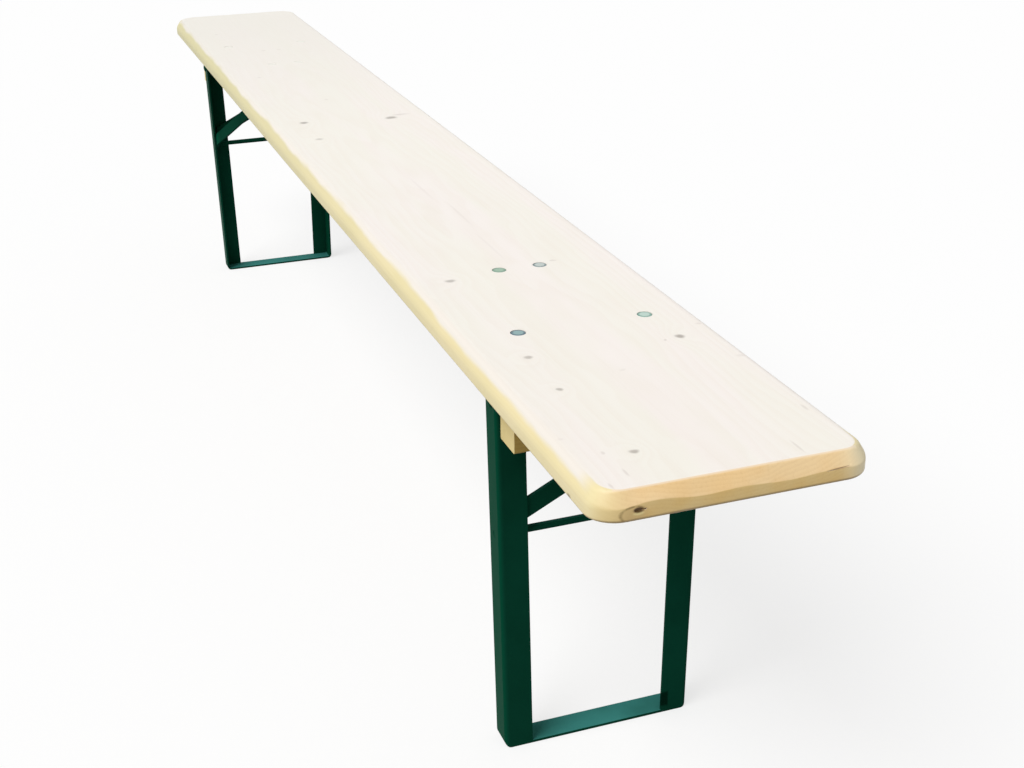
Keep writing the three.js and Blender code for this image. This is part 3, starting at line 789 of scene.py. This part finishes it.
def paint_material():
    shader = Shader("green_paint")
    place = shader.coordinates()
    x, y, z = shader.split(place)
    _, facing_y, facing_z = shader.split(shader.coordinates("Normal"))
    peel = shader.noise(place, PAINT_NOISE["peel"])
    cloud = shader.noise(place, PAINT_NOISE["cloud"], 3.0)
    # painted light: the legs' outer side faces are painted a lighter green, as lit from the side
    lit_outer = shader.product(
        shader.rise(shader.magnitude(facing_y), 0.3, 1.0),
        shader.rise(shader.magnitude(y), *metres(*OUTER_FACE)),
    )
    # painted sheen: level faces low on the legs are painted the teal of the sky's reflection, less high
    # up where the seat shades them
    painted_sheen = shader.product(
        shader.rise(facing_z, 0.75, 0.95),
        shader.smooth(cloud, 0.3, 0.65, 0.65, 1.0),
        shader.smooth(z, *metres(*SHEEN_THINS), 1.0, 0.2),
    )
    colour = shader.layers(
        PAINT_COLOURS["dark"],
        (shader.rise(cloud, 0.3, 0.7), PAINT_COLOURS["light"]),
        # painted shade: the legs are darker high up, under the seat
        (shader.rise(z, *metres(*PAINT_SHADE_HEIGHTS)), PAINT_COLOURS["painted_shade_under_seat"], 0.42),
        (lit_outer, PAINT_COLOURS["lit_outer_face"]),
        (painted_sheen, PAINT_COLOURS["painted_sheen"]),
        # painted shadow of a notch at the foot of the near leg
        (notch_shadow_mask(shader, x, y, z), PAINT_COLOURS["notch_shadow"], 0.75),
    )
    shader.set(
        shader.surface,
        Base_Color=colour,
        Roughness=shader.smooth(cloud, 0.3, 0.7, *PAINT_ROUGHNESS),
        Normal=shader.bump(peel, **PAINT_BUMP),
    )
    return shader.finish(Specular_IOR_Level=PAINT_GLOSS, Specular_Tint=PAINT_GLOSS_TINT)


def metal_material(name, colour, tint, roughness, head=None):
    """Zinc or steel in two colours: in spots, or from the middle to the rim of a bolt head."""
    shader = Shader(name)
    place = shader.coordinates()
    spots = shader.noise(place, METAL_NOISE, 3.0, 0.6)
    share = shader.rise(spots, 0.35, 0.7)
    if head:
        middle, radius = head
        rim = spot(shader, place, middle, (radius, radius, 0))
        share = shader.rise(shader.value("MULTIPLY_ADD", spots, 0.3, rim), 0.72, 1.0)
    shader.set(
        shader.surface,
        Base_Color=shader.mix(share, colour, tint),
        Roughness=shader.smooth(spots, 0.3, 0.7, roughness, roughness + SPOT_ROUGHNESS),
        Normal=shader.bump(spots, **METAL_BUMP),
    )
    return shader.finish(Metallic=METALLIC)


def object_from(name, vertices, faces, material=None):
    mesh = bpy.data.meshes.new(name)
    mesh.from_pydata([tuple(v) for v in vertices], [], faces)
    mesh.validate()
    mesh.update()
    made = bpy.data.objects.new(name, mesh)
    bpy.context.scene.collection.objects.link(made)
    if material:
        mesh.materials.append(material)
    return made


def apply_modifiers(made):
    graph = bpy.context.evaluated_depsgraph_get()
    mesh = bpy.data.meshes.new_from_object(made.evaluated_get(graph))
    made.modifiers.clear()
    made.data = mesh


def smooth_by_angle(made, degrees):
    made.data.polygons.foreach_set("use_smooth", [True] * len(made.data.polygons))
    made.data.set_sharp_from_angle(angle=math.radians(degrees))


def declare(made, body, node):
    """Says what a finished piece rides on, and hides the CAD node that it stands for."""
    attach(made, body)
    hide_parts(node)


def middle_and_half(name):
    """Middle and half sizes of a CAD node's box, in millimetres."""
    low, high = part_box(name)
    return (low + high) / 2 / MM, (high - low) / 2 / MM


def revolve(profile, steps=ROUND_STEPS):
    """Vertices and faces of a round body about Z from (radius, height) pairs, lowest first.
    The first pair and the last one lie on the axis."""
    rings = profile[1:-1]
    vertices = [(0, 0, profile[0][1])]
    for radius, height in rings:
        for step in range(steps):
            angle = 2 * math.pi * step / steps
            vertices.append((radius * math.cos(angle), radius * math.sin(angle), height))
    vertices.append((0, 0, profile[-1][1]))
    top = len(vertices) - 1
    faces = []
    for step in range(steps):
        after = (step + 1) % steps
        faces.append((0, 1 + after, 1 + step))
        for level in range(len(rings) - 1):
            low = 1 + level * steps
            faces.append((low + step, low + after, low + steps + after, low + steps + step))
        last = 1 + (len(rings) - 1) * steps
        faces.append((last + step, last + after, top))
    return vertices, faces


def loft(rings):
    """Vertices and faces of a closed skin over rings of equal count, lowest first."""
    count = len(rings[0])
    vertices = [point for ring in rings for point in ring]
    faces = []
    for level in range(len(rings) - 1):
        for i in range(count):
            low = level * count + i
            low_next = level * count + (i + 1) % count
            faces.append((low, low_next, low_next + count, low + count))
    faces.append(tuple(reversed(range(count))))
    last = (len(rings) - 1) * count
    faces.append(tuple(range(last, last + count)))
    return vertices, faces


def placed(shape, matrix):
    """A shape in millimetres, moved and turned by a matrix, in metres."""
    vertices, faces = shape
    return [matrix @ Vector(v) * MM for v in vertices], faces


def joined(shapes):
    """One shape from several."""
    vertices, faces = [], []
    for some_vertices, some_faces in shapes:
        base = len(vertices)
        vertices += some_vertices
        faces += [tuple(base + index for index in face) for face in some_faces]
    return vertices, faces


def cut(made, cutter_shape):
    cutter = object_from("cutter", *cutter_shape)
    modifier = made.modifiers.new("cut", "BOOLEAN")
    modifier.operation = "DIFFERENCE"
    modifier.solver = "EXACT"
    modifier.use_self = True
    modifier.object = cutter
    apply_modifiers(made)
    bpy.data.objects.remove(cutter)


def edge_profile(edge, thickness):
    """Points (inset, height) up the plank's edge, from its flat underside to its flat top."""
    drop, inset, bottom_round, low_round, high_round = edge.values()
    slant = math.atan2(inset, drop)
    turn = math.pi / 2 - slant
    bend_start = thickness - drop - low_round * math.tan(slant / 2)
    flat_start = inset + high_round * math.tan(turn / 2)
    shares = [step / ARC_STEPS for step in range(ARC_STEPS + 1)]
    points = [(bottom_round + FLAT_STRIP, 0)]
    for share in shares:
        angle = share * math.pi / 2
        points.append((bottom_round * (1 - math.sin(angle)), bottom_round * (1 - math.cos(angle))))
    for share in shares:
        angle = share * slant
        points.append((low_round * (1 - math.cos(angle)), bend_start + low_round * math.sin(angle)))
    for share in shares:
        angle = turn * (1 - share)
        height = thickness - high_round * (1 - math.cos(angle))
        points.append((flat_start - high_round * math.sin(angle), height))
    points.append((flat_start + FLAT_STRIP, thickness))
    return points


def edge_at(y, normal_x):
    """The plank's edge at a place of its outline. At the corners the ends' edge fades into the sides'."""
    share = normal_x * normal_x
    edge = {key: share * END_EDGE[key] + (1 - share) * SIDE_EDGE[key] for key in END_EDGE}
    swell = SWELL_HEIGHT * math.exp(-(((y - SWELL_PLACE) / SWELL_WIDTH) ** 2))
    edge["drop"] -= share ** 3 * (swell + WAVE_HEIGHT * math.cos(2 * math.pi * y / WAVE_LENGTH))
    return edge


def corner_arc(quarter, half_x, half_y):
    """Points round one corner of the plank, as (x, y, normal x, normal y)."""
    (side_x, side_y), radius = PLANK_CORNERS[quarter]
    middle_x = side_x * (half_x - radius)
    middle_y = side_y * (half_y - radius)
    arc = []
    for step in range(CORNER_STEPS + 1):
        angle = (quarter + step / CORNER_STEPS) * math.pi / 2
        across, along = math.cos(angle), math.sin(angle)
        arc.append((middle_x + radius * across, middle_y + radius * along, across, along))
    return arc


def splayed(point, half_x, half_y):
    """An outline point with the front side moved out towards the near end and in towards the far one."""
    x, y, *normal = point
    splay = FRONT_SPLAY["near" if x > 0 else "far"]
    return x, y + splay * (x / half_x) * min(0, y / half_y), *normal


def plank_outline(half_x, half_y):
    """Points of the plank's outline with their outward normals, counterclockwise."""
    arcs = [corner_arc(quarter, half_x, half_y) for quarter in range(len(PLANK_CORNERS))]
    points = []
    for quarter, arc in enumerate(arcs):
        points += arc
        start, stop = arc[-1], arcs[(quarter + 1) % len(arcs)][0]
        step_length = END_STEP if quarter % 2 else SIDE_STEP
        count = round(math.dist(start[:2], stop[:2]) / step_length)
        for step in range(1, count):
            points.append(tuple(a + (b - a) * step / count for a, b in zip(start, stop)))
    return [splayed(point, half_x, half_y) for point in points]


def bolt_recesses(top):
    """Cutters for the recesses round the bolt heads."""
    depth = BOLT_RECESS["depth"]
    radius = BOLT_RECESS["diameter"] / 2
    for end in ENDS:
        for kind in BOLT_KINDS:
            for place in PLACES:
                middle, _ = middle_and_half(f"{end}_{kind}_{place}")
                shape = revolve([(0, -depth), (radius, -depth), (radius, depth), (0, depth)])
                yield placed(shape, Matrix.Translation((middle.x, middle.y, top)))


def stretched_ball(half_sizes):
    angles = [math.pi * step / HOLLOW_STEPS for step in range(HOLLOW_STEPS + 1)]
    vertices, faces = revolve([(math.sin(a), -math.cos(a)) for a in angles], HOLLOW_ROUND_STEPS)
    stretch = Matrix.Diagonal(half_sizes)
    return [stretch @ Vector(v) for v in vertices], faces


def end_hollows(end_x):
    """Cutters for the knot hole and the crack in the near end."""
    for hollow in KNOT_HOLLOWS:
        ball = stretched_ball((hollow["depth"], *hollow["half_sizes"]))
        yield placed(ball, Matrix.Translation((end_x, *hollow["middle"])))
    run, climb = (b - a for a, b in zip(CRACK_FROM, CRACK_TO))
    crack = stretched_ball((CRACK_DEPTH, run / 2, CRACK_HALF_HEIGHT))
    lean = Matrix.Rotation(math.atan2(climb, run), 4, "X")
    yield placed(crack, Matrix.Translation((end_x, *CRACK_MIDDLE)) @ lean)


def make_plank(material):
    middle, half = middle_and_half("seat_board")
    bottom, top = middle.z - half.z, middle.z + half.z
    outline = plank_outline(half.x, half.y)
    profiles = [edge_profile(edge_at(y, normal_x), top - bottom) for _, y, normal_x, _ in outline]
    rings = []
    for level in range(len(profiles[0])):
        ring = []
        for (x, y, normal_x, normal_y), profile in zip(outline, profiles):
            inset, height = profile[level]
            ring.append(metres(x - inset * normal_x, y - inset * normal_y, bottom + height))
        rings.append(ring)
    plank = object_from("seat_plank", *loft(rings), material)
    cut(plank, joined([*bolt_recesses(top), *end_hollows(half.x)]))
    smooth_by_angle(plank, SHARP_ANGLE)
    declare(plank, "root", "seat_board")


def make_round(name, profile, middle, direction, material, sharp_angle=SHARP_ANGLE):
    """A round piece from (radius, height) pairs, its axis along a direction."""
    turn = Vector(direction).to_track_quat("Z", "Y").to_matrix().to_4x4()
    shape = placed(revolve(profile), Matrix.Translation(middle) @ turn)
    made = object_from(name, *shape, material)
    smooth_by_angle(made, sharp_angle)
    return made


def thread(radius, start):
    """Ridges and grooves up the threaded stretch of a bolt."""
    points = []
    for turn in range(THREAD_TURNS):
        foot = start + turn * THREAD_PITCH
        points += [(radius - THREAD_DEPTH, foot), (radius, foot + THREAD_PITCH / 2)]
    return points


def seat_bolt(name, material):
    """A flat-headed bolt, slightly domed, with its thread at the lower end."""
    middle, half = middle_and_half(name)
    radius = BOLT_DIAMETER / 2
    profile = [(0, -half.z), (radius - BOLT_TIP, -half.z)]
    profile += thread(radius, THREAD_START - half.z)
    profile += [(radius, half.z - BOLT_HEAD_HEIGHT)]
    profile += [(half.x - inset, half.z + rise) for inset, rise in BOLT_HEAD]
    profile += [(0, half.z + BOLT_DOME)]
    made = make_round(name + "_turned", profile, middle, (0, 0, 1), material, BOLT_SHARP_ANGLE)
    declare(made, "root", name)


def cross_bar(name, body, material, end_shape):
    """A rod across the bench, with the shape of its ends."""
    middle, half = middle_and_half(name)
    profile = [(0, -half.y)]
    profile += [(half.x + added, distance - half.y) for added, distance in end_shape]
    profile += [(half.x + added, half.y - distance) for added, distance in reversed(end_shape)]
    profile += [(0, half.y)]
    declare(make_round(name + "_turned", profile, middle, (0, 1, 0), material), body, name)


def hinge_rivet(name, material):
    """A rivet with two domed heads."""
    middle, half = middle_and_half(name)
    dome = []
    for step in range(RIVET_STEPS + 1):
        angle = step / RIVET_STEPS * math.pi / 2
        height = half.y - RIVET_HEAD_HEIGHT * (1 - math.cos(angle))
        dome.append((half.x * math.sin(angle), height))
    shank = RIVET_DIAMETER / 2
    reach = half.y - RIVET_HEAD_HEIGHT
    profile = [(radius, -height) for radius, height in dome]
    profile += [(shank, -reach), (shank, reach)]
    profile += reversed(dome)
    made = make_round(name + "_turned", profile, middle, (0, 1, 0), material, RIVET_SHARP_ANGLE)
    declare(made, "root", name)


def bolt_material(name):
    """The zinc of a bolt head that shows."""
    middle, half = middle_and_half(name)
    return metal_material(name + "_zinc", *BOLT_COLOURS[name], BOLT_ROUGHNESS, (middle, half.x))


def make_round_pieces(finishes):
    far_bolt = metal_material("zinc_pale", *FAR_BOLT)
    for end in ENDS:
        cross_bar(f"{end}_cross_rod", f"{end}_leg", finishes["paint"], ROD_END)
        cross_bar(f"{end}_strut_pin", f"{end}_strut", finishes["zinc"], PIN_END)
        for place in PLACES:
            hinge_rivet(f"{end}_hinge_rivet_{place}", finishes["paint"])
            for kind in BOLT_KINDS:
                name = f"{end}_{kind}_{place}"
                seat_bolt(name, bolt_material(name) if name in BOLT_COLOURS else far_bolt)


def dress_nodes(finishes):
    """Gives every shown CAD node its material and softens its edges."""
    longest_first = sorted(NODE_FINISHES, key=len, reverse=True)
    for name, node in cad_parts.items():
        kind = next((k for k in longest_first if k in name), None)
        if kind is None:
            continue
        node.data.materials.clear()
        node.data.materials.append(finishes[NODE_FINISHES[kind]])
        bevel = node.modifiers.new("edges", "BEVEL")
        bevel.width = BEVEL_WIDTH * MM
        bevel.segments = BEVEL_SEGMENTS
        bevel.limit_method = "ANGLE"
        bevel.angle_limit = math.radians(BEVEL_ANGLE)
        bevel.harden_normals = True


def seen_directly(tree):
    """1 for rays from the camera and through gloss or glass, 0 for the rays that light things."""
    path = tree.nodes.new("ShaderNodeLightPath")
    seen = path.outputs["Is Camera Ray"]
    for output in ("Is Glossy Ray", "Is Transmission Ray"):
        either = tree.nodes.new("ShaderNodeMath")
        either.operation = "MAXIMUM"
        tree.links.new(seen, either.inputs[0])
        tree.links.new(path.outputs[output], either.inputs[1])
        seen = either.outputs[0]
    return seen


def make_floor():
    shader = Shader("floor")
    seen = seen_directly(shader.tree)
    grey = shader.smooth(seen, 0.0, 1.0, FLOOR_BOUNCE, FLOOR_SEEN)
    shader.set(
        shader.surface,
        Base_Color=shader.join(grey, grey, grey),
        Emission_Strength=shader.product(seen, FLOOR_GLOW),
    )
    material = shader.finish(
        Emission_Color=WHITE, Roughness=FLOOR_ROUGHNESS, Specular_IOR_Level=0.0
    )
    half, height = metres(FLOOR_HALF_SIZE, FLOOR_HEIGHT)
    corners = [(side_x * half, side_y * half, height) for side_x, side_y in FLOOR_CORNERS]
    object_from("floor", corners, [(0, 1, 2, 3)], material)


def make_lights():
    world = bpy.data.worlds.new("studio")
    bpy.context.scene.world = world
    world.use_nodes = True
    tree = world.node_tree
    background = tree.nodes["Background"]
    background.inputs["Color"].default_value = (*WHITE, 1.0)
    strength = tree.nodes.new("ShaderNodeMapRange")
    strength.inputs["To Min"].default_value = WORLD_LIGHT
    strength.inputs["To Max"].default_value = WORLD_SEEN
    tree.links.new(seen_directly(tree), strength.inputs["Value"])
    tree.links.new(strength.outputs[0], background.inputs["Strength"])

    sun = bpy.data.lights.new("key", "SUN")
    sun.energy = SUN_STRENGTH
    sun.angle = math.radians(SUN_SPREAD)
    lamp = bpy.data.objects.new("key", sun)
    lamp.rotation_mode = "QUATERNION"
    lamp.rotation_quaternion = Vector(SUN_FROM).to_track_quat("Z", "Y")
    bpy.context.scene.collection.objects.link(lamp)


def make_camera():
    azimuth = math.radians(CAMERA_AZIMUTH)
    elevation = math.radians(CAMERA_ELEVATION)
    roll = math.radians(CAMERA_ROLL)
    back = Vector(
        (
            math.sin(azimuth) * math.cos(elevation),
            -math.cos(azimuth) * math.cos(elevation),
            math.sin(elevation),
        )
    )
    level = (-back).cross(Vector((0, 0, 1))).normalized()
    rise = level.cross(-back)
    right = level * math.cos(roll) + rise * math.sin(roll)
    up = rise * math.cos(roll) - level * math.sin(roll)
    camera = bpy.data.objects.new("camera", bpy.data.cameras.new("camera"))
    camera.data.sensor_width = SENSOR_WIDTH
    camera.data.lens = CAMERA_LENS
    camera.data.clip_start = CLIP_START
    camera.data.clip_end = CLIP_END
    axes = Matrix((right, up, back)).transposed().to_4x4()
    camera.matrix_world = Matrix.Translation(CAMERA_PLACE) @ axes
    bpy.context.scene.collection.objects.link(camera)
    bpy.context.scene.camera = camera


make_camera()
make_lights()
make_floor()
bpy.context.scene.view_settings.view_transform = "Standard"
all_finishes = {
    "paint": paint_material(),
    "zinc": metal_material("zinc", *ZINC),
    "spring": metal_material("spring_steel", *SPRING_STEEL),
    "cleat": cleat_material(),
}
make_plank(plank_material())
make_round_pieces(all_finishes)
dress_nodes(all_finishes)
